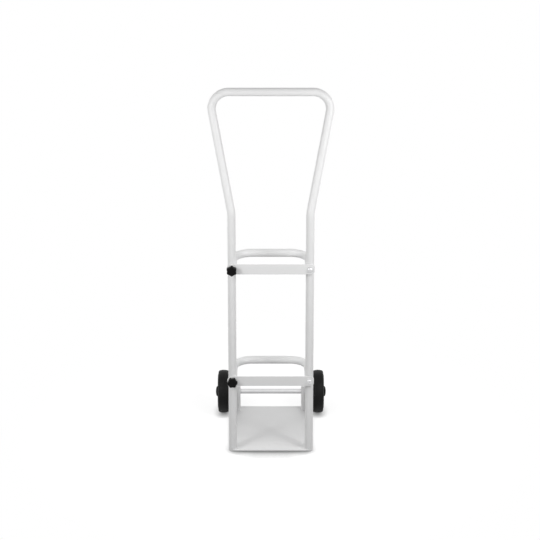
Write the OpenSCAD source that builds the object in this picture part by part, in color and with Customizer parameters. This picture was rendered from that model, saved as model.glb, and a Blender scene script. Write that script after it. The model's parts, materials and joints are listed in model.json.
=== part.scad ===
// Gas cylinder trolley: a bent-tube frame with two cradles, two swinging retaining bars,
// a flat base plate and a fixed axle with two wheels.
// Millimetres. +Z is up, -Y is the front, where the bars and knobs are, and +X is the pivot side.
// The origin lies on the floor, midway between the two legs.

/* [Frame tube] */
// Outer diameter of the frame and cradle tubes
tube_d = 25; // [22:0.5:30]
// Wall of the frame and cradle tubes
tube_wall = 1.5; // [1.2:0.1:2.5]
// Distance between the leg centre lines
leg_spacing = 237; // [215:1:280]
// Height at which the legs bend out into the handle
waist_h = 797; // [740:1:880]
// Centre-line radius of the waist bends
waist_r = 90; // [60:1:120]
// Height of the handle bar's centre line
handle_h = 1158; // [1060:1:1260]
// Greatest distance between the centre lines of the handle's sides
handle_w = 352; // [300:1:400]
// Centre-line radius of the handle corners
corner_r = 50; // [40:1:70]
// Backward lean of the handle in degrees
handle_lean = 10; // [4:0.5:15]

/* [Cradles] */
// Distance from the leg centre lines back to the cradles' rear bars
cradle_depth = 150; // [120:1:200]
// Centre-line radius of the cradle corners
cradle_r = 58; // [45:1:70]
// How far the cradle sides run inside the leg centre lines
cradle_inset = 2; // [0.5:0.5:5]
// Height of the upper cradle
upper_cradle_h = 606; // [480:1:700]
// Height of the lower cradle
lower_cradle_h = 241; // [160:1:320]

/* [Base plate] */
// Thickness of the base plate
plate_t = 6; // [4:0.5:10]
// Plate left bare behind the axle posts
plate_rim = 6.5; // [2:0.5:20]

/* [Axle and posts] */
// Diameter of the axle
axle_d = 16; // [12:0.5:20]
// Distance of the axle behind the leg centre lines
axle_back = 276.5; // [230:0.5:320]
// Chamfer on the axle ends
axle_chamfer = 1; // [0.5:0.1:1.5]
// Outer width of the square axle posts
post_w = 25; // [22:0.5:30]
// Wall of the axle posts
post_wall = 2; // [1.5:0.1:3]
// Corner radius of the axle posts
post_corner_r = 3; // [2:0.5:4]
// How far the axle posts stand inside the leg centre lines
post_inset = 8; // [0:0.5:20]
// Height of the axle posts above the axle centre
post_top = 20; // [18:0.5:30]
// Thickness of the post caps
post_cap_t = 2.5; // [1.5:0.5:5]
// Depth of the plugs under the post caps
post_cap_plug = 7; // [4:0.5:8]
// Length of the spacers between the posts and the wheel hubs
spacer_len = 9.2; // [4:0.2:20]
// Wall of the spacers
spacer_wall = 3.5; // [2:0.5:6]

/* [Wheels] */
// Outer diameter of the wheels
wheel_d = 138.5; // [125:0.5:150]
// Width of the tread
tread_w = 33; // [24:0.5:36]
// Radius of the tyre shoulders
shoulder_r = 4; // [2:0.5:6]
// Width of the tyre where it meets the rim
tyre_w = 37; // [30:0.5:40]
// Outer diameter of the rim
rim_d = 94; // [86:1:104]
// Thickness of the rim
rim_t = 5; // [3:0.5:8]
// Width of the rim
rim_w = 35; // [26:0.5:38]
// Thickness of the wheel's web
web_t = 8; // [5:0.5:12]
// Number of ribs on each wheel
rib_n = 6; // [4:1:8]
// Thickness of the ribs
rib_t = 4; // [3:0.5:6]
// Width of the ribs across the web
rib_w = 28; // [16:0.5:32]
// Length of the hub
hub_w = 39; // [34:0.5:44]
// Wall of the hub round its bush
hub_wall = 7; // [4:0.5:10]
// Wall of the bush
bush_wall = 3; // [2:0.5:4]
// Outer diameter of the axle's end washers
end_washer_d = 30; // [26:0.5:36]
// Thickness of the axle's end washers
end_washer_t = 1.5; // [1:0.1:2.5]
// Diameter of the axle caps
axle_cap_d = 30; // [26:0.5:36]
// Height of the axle caps
axle_cap_h = 4.3; // [3.5:0.1:8]
// Drop of the axle caps' dome from its middle to its edge
axle_cap_dome = 2.5; // [1:0.1:3]
// Depth to which the axle sits in its caps
axle_cap_seat = 2.2; // [1.5:0.1:2.5]

/* [Retaining bars] */
// Width of the bars
strap_w = 32; // [26:0.5:38]
// Thickness of the bars
strap_t = 4; // [3:0.5:6]
// Height of the upper bar
upper_strap_h = 622; // [500:1:720]
// Height of the lower bar
lower_strap_h = 248; // [160:1:320]
// Clearance of the open slot round its stud
slot_clear = 1; // [0.8:0.1:2]

/* [Fasteners] */
// Thread diameter of the knob studs
stud_d = 8; // [6:0.5:10]
// Diameter of the pivot bolts
pivot_d = 8; // [6:0.5:10]
// Diameter of the bosses welded on the legs
boss_d = 16; // [14:0.5:20]
// Height of the bosses in front of the legs
boss_len = 4; // [2:0.5:8]
// Length of thread inside the tube
thread_root = 6; // [3:0.5:9]
// Chamfer on the ends of studs and bolts
thread_chamfer = 0.8; // [0.4:0.1:1.2]
// Diameter of the pivot bolt heads
head_d = 14; // [12.5:0.5:18]
// Height of the pivot bolt heads
head_h = 4.4; // [3.5:0.1:6]
// Drop of the head's dome from its middle to its edge
head_dome = 2.4; // [1:0.1:3]
// Distance across the flats of the head's socket
socket_af = 5; // [4:0.5:6]
// Depth of the head's socket
socket_deep = 2.4; // [1.5:0.1:3]
// Diameter of the washers on the bars
washer_d = 20; // [16:0.5:24]
// Thickness of the washers on the bars
washer_t = 1.6; // [1:0.1:2.5]

/* [Knobs] */
// Diameter over the knob's lobes
knob_d = 32; // [28:0.5:40]
// Overall height of a knob
knob_h = 18; // [16:0.5:24]
// Number of lobes on a knob
lobe_n = 6; // [5:1:8]
// Diameter of each lobe
lobe_d = 10; // [8:0.5:12]
// Diameter of the knob's core between its lobes
knob_core_d = 27; // [24:0.5:28]
// Diameter of the knob's collar
collar_d = 19; // [17:0.5:22]
// Height of the knob's collar
collar_h = 4; // [2:0.5:6]
// Drop of the knob's domed front from its middle to its lobes
knob_dome = 3; // [1:0.5:5]
// Length of stud inside a tightened knob
stud_reach = 12; // [9:0.5:14]
// Free space in the knob beyond the stud
stud_tip_gap = 1; // [0.5:0.5:2]
// Wall of the knob's threaded insert
insert_wall = 2; // [1.5:0.5:3]
// Angle of the upper knob's lobes in degrees
upper_knob_turn = 90; // [0:1:120]
// Angle of the lower knob's lobes in degrees
lower_knob_turn = 62; // [0:1:120]

/* [Clearances] */
// Radial clearance of parts that turn on a pin or shaft
run_fit = 0.05; // [0.02:0.01:0.1]
// Radial clearance of fixed parts in their holes
fixed_fit = 0.1; // [0.05:0.05:0.2]
// Radial clearance of the loose washers
loose_fit = 0.3; // [0.3:0.1:0.6]
// Gap between faces that slide past each other
face_play = 0.3; // [0.2:0.1:0.5]
// Gap at the welded seats on the tubes
weld_gap = 0.05; // [0.02:0.01:0.1]

/* [Hidden] */

paint = "whitesmoke";
zinc = "silver";
black = "#1c1c1c";
brass = "#b8a050";
nylon = "gainsboro";

// Steps round a full circle, round the circles of the low domes and round a hexagon
$fn = 64;
dome_steps = 360;
hex_sides = 6;
// Overrun of cutting shapes
cut = 1;
// Depth to which a straight tube tapers into the bend that follows it
bend_lap = 2;
// Thinning of the tube's wall, inside and outside, round a bend
bend_neck = 0.1;
// Side numbers: the knobs are on the left leg and the pivots on the right leg
left = -1;
right = 1;

tube_r = tube_d / 2;
bore_r = tube_r - tube_wall;
leg_x = leg_spacing / 2;

// The handle in its own leaning plane: slope length, corner centre, flare of the sides
handle_run = (handle_h - waist_h) / cos(handle_lean);
corner_x = handle_w / 2 - corner_r;
corner_up = handle_run - corner_r;
corner_out = corner_x - leg_x;
flare = atan2(corner_out, corner_up) + asin(corner_r / norm([corner_out, corner_up]));
side_end = corner_out * sin(flare) + corner_up * cos(flare);

// The waist bend turns from the upright leg into the flared and leaning side
waist_bend = acos(cos(flare) * cos(handle_lean));
waist_turn = atan2(cos(flare) * sin(handle_lean), sin(flare));
waist_cut = waist_r * tan(waist_bend / 2);

cradle_x = leg_x - cradle_inset;

axle_z = wheel_d / 2;
post_x = leg_x - post_inset;
post_h = axle_z + post_top - plate_t;
spacer_x = post_x + post_w / 2;
hub_in_x = spacer_x + spacer_len + face_play;
wheel_x = hub_in_x + hub_w / 2;
end_washer_x = wheel_x + hub_w / 2 + face_play;
axle_cap_x = end_washer_x + end_washer_t;
axle_len = 2 * (axle_cap_x + axle_cap_seat);
plate_back = axle_back + post_w / 2 + plate_rim;

bush_d = axle_d + 2 * bush_wall;
hub_d = bush_d + 2 * hub_wall;

// Places along -Y, from the leg's front outwards
boss_y = -tube_r - boss_len;
strap_back_y = boss_y - face_play;
strap_front_y = strap_back_y - strap_t;
washer_back_y = strap_front_y - face_play;
washer_front_y = washer_back_y - washer_t;
knob_back_y = washer_front_y - face_play;
root_y = thread_root - bore_r;
insert_d = stud_d + 2 * insert_wall;

// End of a straight tube's wall, from outside to inside, tapered where it laps a bend
function run_end(z, lap) = lap == 0
    ? [[tube_r, z], [bore_r, z]]
    : [
        [tube_r, z], [tube_r - 2 * bend_neck, z + lap],
        [bore_r + 2 * bend_neck, z + lap], [bore_r, z]
    ];

function reversed(points) = [for (i = [len(points) - 1 : -1 : 0]) points[i]];

// Straight tube along +Z, lengthened by its laps at both ends
module tube_run(length, low_lap, high_lap) {
    rotate_extrude()
        polygon(concat(run_end(length, high_lap), reversed(run_end(0, -low_lap))));
}

// Tube that starts along +Z and bends towards +X
module tube_bend(radius, angle) {
    translate([radius, 0, 0])
        rotate([90, 0, 0])
            rotate([0, 0, 180 - angle])
                rotate_extrude(angle = angle)
                    translate([radius, 0])
                        difference() {
                            circle(r = tube_r - bend_neck);
                            circle(r = bore_r + bend_neck);
                        }
}

// Rectangle centred on the origin with round corners
module round_rect(width, depth, radius) {
    square([width - 2 * radius, depth], center = true);
    square([width, depth - 2 * radius], center = true);
    for (x = [-1, 1], y = [-1, 1])
        translate([x * (width / 2 - radius), y * (depth / 2 - radius)])
            circle(r = radius);
}

// Ring along +Z with a through hole
module ring(outer_d, inner_d, length) {
    difference() {
        cylinder(d = outer_d, h = length);
        translate([0, 0, -cut])
            cylinder(d = inner_d, h = length + 2 * cut);
    }
}

// Radius of a dome that drops from its middle to its edge
function dome_radius(edge_d, drop) = (pow(edge_d / 2, 2) + drop * drop) / (2 * drop);

// Round bar along +Z whose top is a dome
module domed_bar(diameter, height, top_r) {
    rotate_extrude()
        intersection() {
            square([diameter / 2, height]);
            translate([0, height - top_r])
                circle(r = top_r, $fn = dome_steps);
        }
}

// Round bar along +Z with chamfered ends
module chamfered_bar(diameter, length, chamfer) {
    r = diameter / 2;
    rotate_extrude()
        polygon([
            [0, 0], [r - chamfer, 0], [r, chamfer],
            [r, length - chamfer], [r - chamfer, length], [0, length]
        ]);
}

// Moves children to a leg at a height and turns their +Z to the front
module on_leg(side, y, height) {
    translate([side * leg_x, y, height])
        rotate([90, 0, 0])
            children();
}

// Moves children onto the axle at a distance from the middle and turns their +Z outwards
module on_axle(side, x) {
    translate([side * x, axle_back, axle_z])
        rotate([0, side * 90, 0])
            children();
}

// Outer shape of both legs, to fit welded pieces onto them
module leg_envelope(height) {
    for (side = [left, right])
        translate([side * leg_x, 0, height - tube_d])
            cylinder(r = tube_r + weld_gap, h = 2 * tube_d);
}

// Moves children into the leaning plane of the handle
module in_handle_plane() {
    translate([0, 0, waist_h])
        rotate([-handle_lean, 0, 0])
            children();
}

// One leg with its waist bend, handle side and handle corner
module frame_side() {
    translate([leg_x, 0, plate_t])
        tube_run(waist_h - waist_cut - plate_t, 0, bend_lap);
    translate([leg_x, 0, waist_h - waist_cut])
        rotate([0, 0, waist_turn])
            tube_bend(waist_r, waist_bend);
    in_handle_plane()
        translate([leg_x, 0, 0])
            rotate([0, flare, 0]) {
                translate([0, 0, waist_cut])
                    tube_run(side_end - waist_cut, bend_lap, bend_lap);
                translate([0, 0, side_end])
                    rotate([0, 0, 180])
                        tube_bend(corner_r, 90 + flare);
            }
}

// Legs and handle: one tube bent four times, drilled for the studs and pivot bolts
module frame_tube() {
    color(paint)
        difference() {
            union() {
                frame_side();
                mirror([1, 0, 0])
                    frame_side();
                in_handle_plane()
                    translate([-corner_x, 0, handle_run])
                        rotate([0, 90, 0])
                            tube_run(2 * corner_x, bend_lap, bend_lap);
            }
            for (height = [lower_strap_h, upper_strap_h]) {
                on_leg(left, 0, height)
                    cylinder(d = stud_d + 2 * fixed_fit, h = tube_d);
                on_leg(right, 0, height)
                    cylinder(d = pivot_d + 2 * fixed_fit, h = tube_d);
            }
        }
}

// U-shaped tube behind the legs, its ends fitted round them
module cradle(height) {
    color(paint)
        difference() {
            translate([0, 0, height]) {
                for (side = [left, right])
                    translate([side * cradle_x, 0, 0])
                        rotate([-90, 0, 0]) {
                            tube_run(cradle_depth - cradle_r, 0, bend_lap);
                            translate([0, 0, cradle_depth - cradle_r])
                                rotate([0, 0, side == right ? 180 : 0])
                                    tube_bend(cradle_r, 90);
                        }
                translate([cradle_r - cradle_x, cradle_depth, 0])
                    rotate([0, 90, 0])
                        tube_run(2 * (cradle_x - cradle_r), bend_lap, bend_lap);
            }
            leg_envelope(height);
        }
}

// Flat plate under the legs and axle posts, its corners round like the tubes
module base_plate() {
    color(paint)
        translate([0, (plate_back - tube_r) / 2, 0])
            linear_extrude(plate_t)
                round_rect(leg_spacing + tube_d, plate_back + tube_r, tube_r);
}

// Square post on the plate that carries the axle
module axle_post(side) {
    color(paint)
        difference() {
            translate([side * post_x, axle_back, plate_t])
                linear_extrude(post_h)
                    difference() {
                        round_rect(post_w, post_w, post_corner_r);
                        square(post_w - 2 * post_wall, center = true);
                    }
            on_axle(side, post_x - post_w)
                cylinder(d = axle_d + 2 * fixed_fit, h = 2 * post_w);
        }
}

// Lid that closes an axle post, with a plug inside the post
module post_cap(side) {
    color(paint)
        translate([side * post_x, axle_back, plate_t + post_h]) {
            linear_extrude(post_cap_t)
                round_rect(post_w, post_w, post_corner_r);
            translate([0, 0, -post_cap_plug])
                linear_extrude(post_cap_plug + cut)
                    square(post_w - 2 * (post_wall + fixed_fit), center = true);
        }
}

// Plated rod from wheel to wheel
module axle() {
    color(zinc)
        on_axle(right, -axle_len / 2)
            chamfered_bar(axle_d, axle_len, axle_chamfer);
}

// Sleeve between an axle post and a wheel hub
module spacer(side) {
    color(zinc)
        on_axle(side, spacer_x)
            ring(axle_d + 2 * spacer_wall, axle_d + 2 * fixed_fit, spacer_len);
}

// Washer outside a wheel hub
module end_washer(side) {
    color(zinc)
        on_axle(side, end_washer_x)
            ring(end_washer_d, axle_d + 2 * fixed_fit, end_washer_t);
}

// Domed push-on cap over an axle end
module axle_cap(side) {
    color(black)
        on_axle(side, axle_cap_x)
            difference() {
                domed_bar(axle_cap_d, axle_cap_h, dome_radius(axle_cap_d, axle_cap_dome));
                translate([0, 0, -cut])
                    cylinder(d = axle_d + 2 * fixed_fit, h = axle_cap_seat + fixed_fit + cut);
            }
}

// Solid tyre with round shoulders
module tyre(side) {
    shoulder_x = wheel_d / 2 - shoulder_r;
    shoulder_y = tread_w / 2 - shoulder_r;
    color(black)
        on_axle(side, wheel_x)
            rotate_extrude() {
                polygon([
                    [rim_d / 2 + fixed_fit, -tyre_w / 2], [shoulder_x, -tread_w / 2],
                    [shoulder_x, tread_w / 2], [rim_d / 2 + fixed_fit, tyre_w / 2]
                ]);
                translate([shoulder_x - shoulder_r, -shoulder_y])
                    square([2 * shoulder_r, 2 * shoulder_y]);
                for (y = [-shoulder_y, shoulder_y])
                    translate([shoulder_x, y])
                        circle(r = shoulder_r);
            }
}

// Ribbed wheel centre with a bore for its bush
module hub(side) {
    rib_len = (rim_d - hub_d) / 2 - rim_t;
    color(black)
        on_axle(side, wheel_x) {
            translate([0, 0, -hub_w / 2])
                ring(hub_d, bush_d + 2 * fixed_fit, hub_w);
            translate([0, 0, -rim_w / 2])
                ring(rim_d, rim_d - 2 * rim_t, rim_w);
            translate([0, 0, -web_t / 2])
                ring(rim_d - rim_t, hub_d - hub_wall, web_t);
            for (i = [0 : rib_n - 1])
                rotate([0, 0, i * 360 / rib_n])
                    translate([hub_d / 2 - cut, -rib_t / 2, -rib_w / 2])
                        cube([rib_len + 2 * cut, rib_t, rib_w]);
        }
}

// Sleeve that runs on the axle inside a hub
module bush(side) {
    color(nylon)
        on_axle(side, hub_in_x)
            ring(bush_d, axle_d + 2 * run_fit, hub_w);
}

// Boss welded on the front of a leg, bored for a stud or bolt
module leg_boss(side, height, thread_d) {
    color(paint)
        difference() {
            on_leg(side, 0, height)
                ring(boss_d, thread_d + 2 * fixed_fit, -boss_y);
            leg_envelope(height);
        }
}

// Flat bar with round ends, a pivot hole at the right and a slot open downwards at the left
module strap(height) {
    color(paint)
        translate([0, strap_back_y, height])
            rotate([90, 0, 0])
                linear_extrude(strap_t)
                    difference() {
                        union() {
                            square([leg_spacing, strap_w], center = true);
                            for (side = [left, right])
                                translate([side * leg_x, 0])
                                    circle(d = strap_w);
                        }
                        translate([right * leg_x, 0])
                            circle(d = pivot_d + 2 * run_fit);
                        translate([left * leg_x, 0])
                            circle(r = stud_d / 2 + slot_clear);
                        translate([left * leg_x - stud_d / 2 - slot_clear, -strap_w])
                            square([stud_d + 2 * slot_clear, strap_w]);
                    }
}

// Button-head bolt on which a bar swings
module pivot_bolt(height) {
    color(zinc) {
        on_leg(right, root_y, height)
            chamfered_bar(pivot_d, root_y - washer_front_y + cut, thread_chamfer);
        on_leg(right, washer_front_y, height)
            difference() {
                domed_bar(head_d, head_h, dome_radius(head_d, head_dome));
                translate([0, 0, head_h - socket_deep])
                    cylinder(d = socket_af / cos(180 / hex_sides), h = head_h, $fn = hex_sides);
            }
    }
}

// Washer between a bar and its pivot bolt's head
module pivot_washer(height) {
    color(zinc)
        on_leg(right, washer_back_y, height)
            ring(washer_d, pivot_d + 2 * fixed_fit, washer_t);
}

// Threaded stud on which a knob turns
module stud(height) {
    color(zinc)
        on_leg(left, root_y, height)
            chamfered_bar(stud_d, root_y - knob_back_y + stud_reach, thread_chamfer);
}

// Washer between a bar and its knob
module knob_washer(height) {
    color(zinc)
        on_leg(left, washer_back_y, height)
            ring(washer_d, stud_d + 2 * loose_fit, washer_t);
}

// Lobed knob with a domed front and a socket for its insert
module knob(height, turn) {
    color(black)
        on_leg(left, knob_back_y, height)
            difference() {
                intersection() {
                    union() {
                        cylinder(d = collar_d, h = knob_h);
                        translate([0, 0, collar_h]) {
                            cylinder(d = knob_core_d, h = knob_h - collar_h);
                            for (i = [0 : lobe_n - 1])
                                rotate([0, 0, turn + i * 360 / lobe_n])
                                    translate([(knob_d - lobe_d) / 2, 0, 0])
                                        cylinder(d = lobe_d, h = knob_h - collar_h);
                        }
                    }
                    domed_bar(knob_d + 2 * cut, knob_h, dome_radius(knob_d, knob_dome));
                }
                translate([0, 0, -cut])
                    cylinder(d = insert_d + 2 * fixed_fit, h = stud_reach + stud_tip_gap + cut);
            }
}

// Threaded insert inside a knob
module knob_insert(height) {
    color(brass)
        on_leg(left, knob_back_y, height)
            ring(insert_d, stud_d + 2 * run_fit, stud_reach + stud_tip_gap);
}

frame_tube();
cradle(upper_cradle_h);  // upper_cradle
cradle(lower_cradle_h);  // lower_cradle
base_plate();
axle_post(left);  // left_axle_post
axle_post(right);  // right_axle_post
post_cap(left);  // left_post_cap
post_cap(right);  // right_post_cap
axle();
spacer(left);  // left_spacer
spacer(right);  // right_spacer
end_washer(left);  // left_end_washer
end_washer(right);  // right_end_washer
axle_cap(left);  // left_axle_cap
axle_cap(right);  // right_axle_cap
tyre(left);  // left_tyre
hub(left);  // left_hub
bush(left);  // left_bush
tyre(right);  // right_tyre
hub(right);  // right_hub
bush(right);  // right_bush
leg_boss(right, upper_strap_h, pivot_d);  // upper_pivot_boss
leg_boss(right, lower_strap_h, pivot_d);  // lower_pivot_boss
leg_boss(left, upper_strap_h, stud_d);  // upper_stud_boss
leg_boss(left, lower_strap_h, stud_d);  // lower_stud_boss
strap(upper_strap_h);  // upper_strap
strap(lower_strap_h);  // lower_strap
pivot_bolt(upper_strap_h);  // upper_pivot_bolt
pivot_bolt(lower_strap_h);  // lower_pivot_bolt
pivot_washer(upper_strap_h);  // upper_pivot_washer
pivot_washer(lower_strap_h);  // lower_pivot_washer
stud(upper_strap_h);  // upper_stud
stud(lower_strap_h);  // lower_stud
knob_washer(upper_strap_h);  // upper_knob_washer
knob_washer(lower_strap_h);  // lower_knob_washer
knob(upper_strap_h, upper_knob_turn);  // upper_knob
knob(lower_strap_h, lower_knob_turn);  // lower_knob
knob_insert(upper_strap_h);  // upper_knob_insert
knob_insert(lower_strap_h);  // lower_knob_insert
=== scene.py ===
import json
import math

import bmesh
import bpy
from mathutils import Matrix, Vector


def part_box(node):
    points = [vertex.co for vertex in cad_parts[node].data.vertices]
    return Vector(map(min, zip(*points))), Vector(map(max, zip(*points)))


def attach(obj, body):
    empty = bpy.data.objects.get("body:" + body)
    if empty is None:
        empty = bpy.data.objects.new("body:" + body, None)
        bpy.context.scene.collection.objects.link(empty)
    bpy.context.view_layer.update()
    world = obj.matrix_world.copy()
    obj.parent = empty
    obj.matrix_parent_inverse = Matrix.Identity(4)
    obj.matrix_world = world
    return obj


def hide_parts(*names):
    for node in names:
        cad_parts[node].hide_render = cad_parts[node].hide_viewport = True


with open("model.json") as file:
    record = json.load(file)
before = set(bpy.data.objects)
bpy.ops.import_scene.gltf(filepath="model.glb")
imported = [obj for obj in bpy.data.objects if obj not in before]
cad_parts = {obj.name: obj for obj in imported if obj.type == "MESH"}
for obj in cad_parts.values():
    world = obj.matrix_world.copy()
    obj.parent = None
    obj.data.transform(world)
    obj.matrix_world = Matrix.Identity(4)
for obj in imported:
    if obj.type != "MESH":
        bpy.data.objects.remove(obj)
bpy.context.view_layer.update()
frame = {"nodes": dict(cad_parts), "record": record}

# Sizes in metres. +X is the pivot side, -Y the front and +Z up.
MM = 0.001
TINY = 0.01 * MM
PLAY = 0.1 * MM       # between a bore and what it takes
OVERLAP = 1 * MM      # how far pieces run into each other before they are joined
EDGE_STEPS = 3
SIDES = {"left": -1, "right": 1}
FRONT = (0, -1, 0)
OUTWARDS = (1, 0, 0)
TURNED_TO = {"X": (0, math.pi / 2, 0), "Y": (math.pi / 2, 0, 0), "Z": (0, 0, 0)}

# Bent tubes
TUBE_R = 12.5 * MM
TUBE_SIDES = 48
BEND_STEP_DEG = 4
FEWEST_BEND_STEPS = 6
LEG_X = 118.5 * MM
WAIST_H = 797 * MM
WAIST_R = 90 * MM
HANDLE_H = 1158 * MM
HANDLE_W = 352 * MM
HANDLE_LEAN = math.radians(10)
CORNER_R = 50 * MM
CRADLE_X = 116.5 * MM
CRADLE_DEPTH = 150 * MM
CRADLE_R = 58 * MM
CRADLE_H = {"upper": 606 * MM, "lower": 241 * MM}
CRADLE_SET_IN = 0.4 * MM

# Plate and post lids
PLATE_T = 6 * MM
PLATE_UPPER_R = 1.2 * MM
PLATE_LOWER_R = 3.6 * MM
PLATE_CORNER_STEPS = 10
PLATE_EDGE_STEPS = 6
LID_T = 2.5 * MM
LID_CORNER_R = 3 * MM
LID_CORNER_STEPS = 5
LID_EDGE_R = 0.8 * MM

# Axle and its ends
TURN_STEPS = 72
AXLE_Y = 276.5 * MM
AXLE_Z = 69.25 * MM
AXLE_R = 8 * MM
SPACER_X = 123 * MM
SPACER_LEN = 9.2 * MM
SPACER_R = 11.5 * MM
SPACER_EDGE_R = 0.4 * MM
END_WASHER_X = 171.8 * MM
END_WASHER_T = 1.5 * MM
END_WASHER_R = 13 * MM
END_WASHER_EDGE_R = 0.3 * MM
CAP_X = 171.9 * MM
CAP_R = 16.5 * MM
CAP_H = 5.7 * MM
CAP_SKIRT = 0.8 * MM
CAP_CUTS = 23

# Wheels
WHEEL_X = 152 * MM
WHEEL_R = 69.25 * MM
TREAD_W = 33 * MM
TREAD_CROWN = 3.2 * MM
TREAD_CUTS = 11
SHOULDER_R = 4 * MM
SHOULDER_STEPS = 8
TYRE_W = 37 * MM
TYRE_STEPS = 120
SIDEWALL_CUTS = 15
BAND_LOW = 3 * MM
BAND_HIGH = 7 * MM
BAND_RISE = 0.7 * MM
RIM_R = 47 * MM
RIM_T = 5 * MM
RIM_W = 35 * MM
WEB_T = 8 * MM
WEB_STEPS = 96
RIB_N = 6
RIB_T = 4 * MM
RIB_W = 28 * MM
RIB_EDGE_R = 0.9 * MM
RIB_EDGE_STEPS = 4
HUB_R = 18 * MM
HUB_W = 39 * MM
HUB_EDGE_R = 0.6 * MM
BUSH_R = 11 * MM

# Retaining bars, bosses, bolts and washers
STRAP_H = {"upper": 622 * MM, "lower": 248 * MM}
STRAP_EDGE_R = 0.6 * MM
STRAP_END_STEPS = 20
KNOB_END_TRIM = 0.02 * MM
PIVOT_END_R = 9 * MM
PIVOT_END_TRIM = 2 * MM
PIVOT_R = 4 * MM
PIVOT_PLAY = 0.05 * MM
SLOT_R = 5 * MM
BORE_SIDES = 48
BOSS_R = 8 * MM
BOSS_FRONT_Y = -16.5 * MM
BOSS_BACK_Y = -9.5 * MM
BOSS_EDGE_R = 0.5 * MM
WASHER_BACK_Y = -21.1 * MM
WASHER_FRONT_Y = -22.7 * MM
WASHER_T = 1.6 * MM
WASHER_R = 10 * MM
WASHER_EDGE_R = 0.25 * MM
HEAD_R = 7 * MM
HEAD_H = 4.4 * MM
HEAD_DOME = 2.4 * MM
HEAD_EDGE_R = 0.3 * MM
HEAD_CUTS = 11
SOCKET_AF = 5 * MM
SOCKET_DEEP = 2.4 * MM
SHANK_LEN = 17.7 * MM

# Studs and star knobs
STUD_R = 4 * MM
STUD_ROOT_Y = -5 * MM
STUD_LEN = 30 * MM
STUD_WASHER_PLAY = 0.3 * MM
PITCH = 1.25 * MM
THREAD_DEPTH = 0.75 * MM
THREAD_FLANK = 1.3
THREAD_CREST = 0.15
THREAD_CUTS = 5
THREAD_STEPS = 32
KNOB_TURN = {"upper": math.radians(90), "lower": math.radians(62)}
KNOB_BACK_Y = -23 * MM
KNOB_R = 16 * MM
KNOB_H = 18 * MM
KNOB_CORE_R = 13.5 * MM
KNOB_DOME = 3 * MM
KNOB_DOME_SHARES = (0.82, 0.66, 0.5, 0.34, 0.18, 0.06)
KNOB_FRONT_RIM = 1.6 * MM
KNOB_FRONT_STEPS = 5
KNOB_BACK_RIM = 0.8 * MM
KNOB_BACK_STEPS = 3
KNOB_POINTS = 144
LOBE_N = 6
LOBE_R = 5 * MM
LOBE_FILLET = 0.5 * MM
COLLAR_R = 9.5 * MM
COLLAR_H = 4 * MM
COLLAR_EDGE_R = 0.6 * MM
COLLAR_OVERLAP = 2 * MM
INSERT_R = 6 * MM
INSERT_LEN = 13 * MM
INSERT_BORE_SIDES = 64

# Painted welds
BEAD_R = 1.7 * MM
BEAD_RIPPLE = 0.10
BEAD_RIPPLE_POINTS = 4
BEAD_THIN_END = 0.25
BEAD_TAPER_POINTS = 6
BEAD_RISE = 0.2 * MM
BEAD_STAND_OFF = 0.3 * MM
FOOT_BEAD_START = {"left": math.radians(-90), "right": 0}
FOOT_BEAD_SWEEP = math.radians(270)
FOOT_BEAD_POINTS = 60
CRADLE_BEAD_POINTS = 96
POST_BEAD_POINTS = 24
POST_BEAD_CORNER = 0.06


# Selecting and finishing

def clear_selection():
    """Leaves nothing selected, so that an operator acts on the piece in hand only."""
    if bpy.context.mode != "OBJECT":
        bpy.ops.object.mode_set(mode="OBJECT")
    bpy.ops.object.select_all(action="DESELECT")


def take(piece):
    """Makes a piece the only selected and the active one."""
    clear_selection()
    piece.select_set(True)
    bpy.context.view_layer.objects.active = piece


def edit(piece):
    """Opens a piece for shaping, with all of it selected."""
    take(piece)
    bpy.ops.object.mode_set(mode="EDIT")
    bpy.ops.mesh.select_all(action="SELECT")


def close_edit():
    """Ends the shaping of a piece."""
    bpy.ops.object.mode_set(mode="OBJECT")


def settle():
    """Puts the place, turn and size of what is selected into its mesh."""
    bpy.ops.object.transform_apply(location=True, rotation=True, scale=True)


def name_new(name):
    """Names what was just added and puts its place into its mesh."""
    piece = bpy.context.object
    piece.name = name
    piece.data.name = name
    settle()
    return piece


def middle(part):
    """Middle of a vertex, an edge or a face of an open mesh."""
    if isinstance(part, bmesh.types.BMVert):
        return part.co
    if isinstance(part, bmesh.types.BMEdge):
        return (part.verts[0].co + part.verts[1].co) / 2
    return part.calc_center_median()


def pick(piece, kind, wanted):
    """In edit mode, selects only the vertices, edges or faces whose middle is wanted."""
    bpy.ops.mesh.select_mode(type=kind)
    bpy.ops.mesh.select_all(action="DESELECT")
    mesh = bmesh.from_edit_mesh(piece.data)
    parts = {"VERT": mesh.verts, "EDGE": mesh.edges, "FACE": mesh.faces}[kind]
    for part in parts:
        if wanted(middle(part)):
            part.select_set(True)
    mesh.select_flush_mode()
    bmesh.update_edit_mesh(piece.data)


def move_points(piece, rule):
    """In edit mode, moves each vertex to where the rule puts it."""
    mesh = bmesh.from_edit_mesh(piece.data)
    for vert in mesh.verts:
        vert.co = rule(vert.co)
    bmesh.update_edit_mesh(piece.data)


def push(offset):
    """Extrudes what is selected by an offset."""
    bpy.ops.mesh.extrude_region_move(TRANSFORM_OT_translate={"value": tuple(offset)})


def tidy_normals():
    """In edit mode, merges doubles, drops slivers and turns all faces outwards."""
    bpy.ops.mesh.select_all(action="SELECT")
    bpy.ops.mesh.remove_doubles(threshold=TINY)
    bpy.ops.mesh.dissolve_degenerate(threshold=TINY)
    bpy.ops.mesh.select_all(action="SELECT")
    bpy.ops.mesh.normals_make_consistent(inside=False)


def tidy_mesh(piece):
    """Tidies all of a piece."""
    edit(piece)
    tidy_normals()
    close_edit()


def apply_modifier(piece, modifier):
    """Makes a modifier's result the mesh of a piece."""
    take(piece)
    bpy.ops.object.modifier_apply(modifier=modifier.name)


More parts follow.
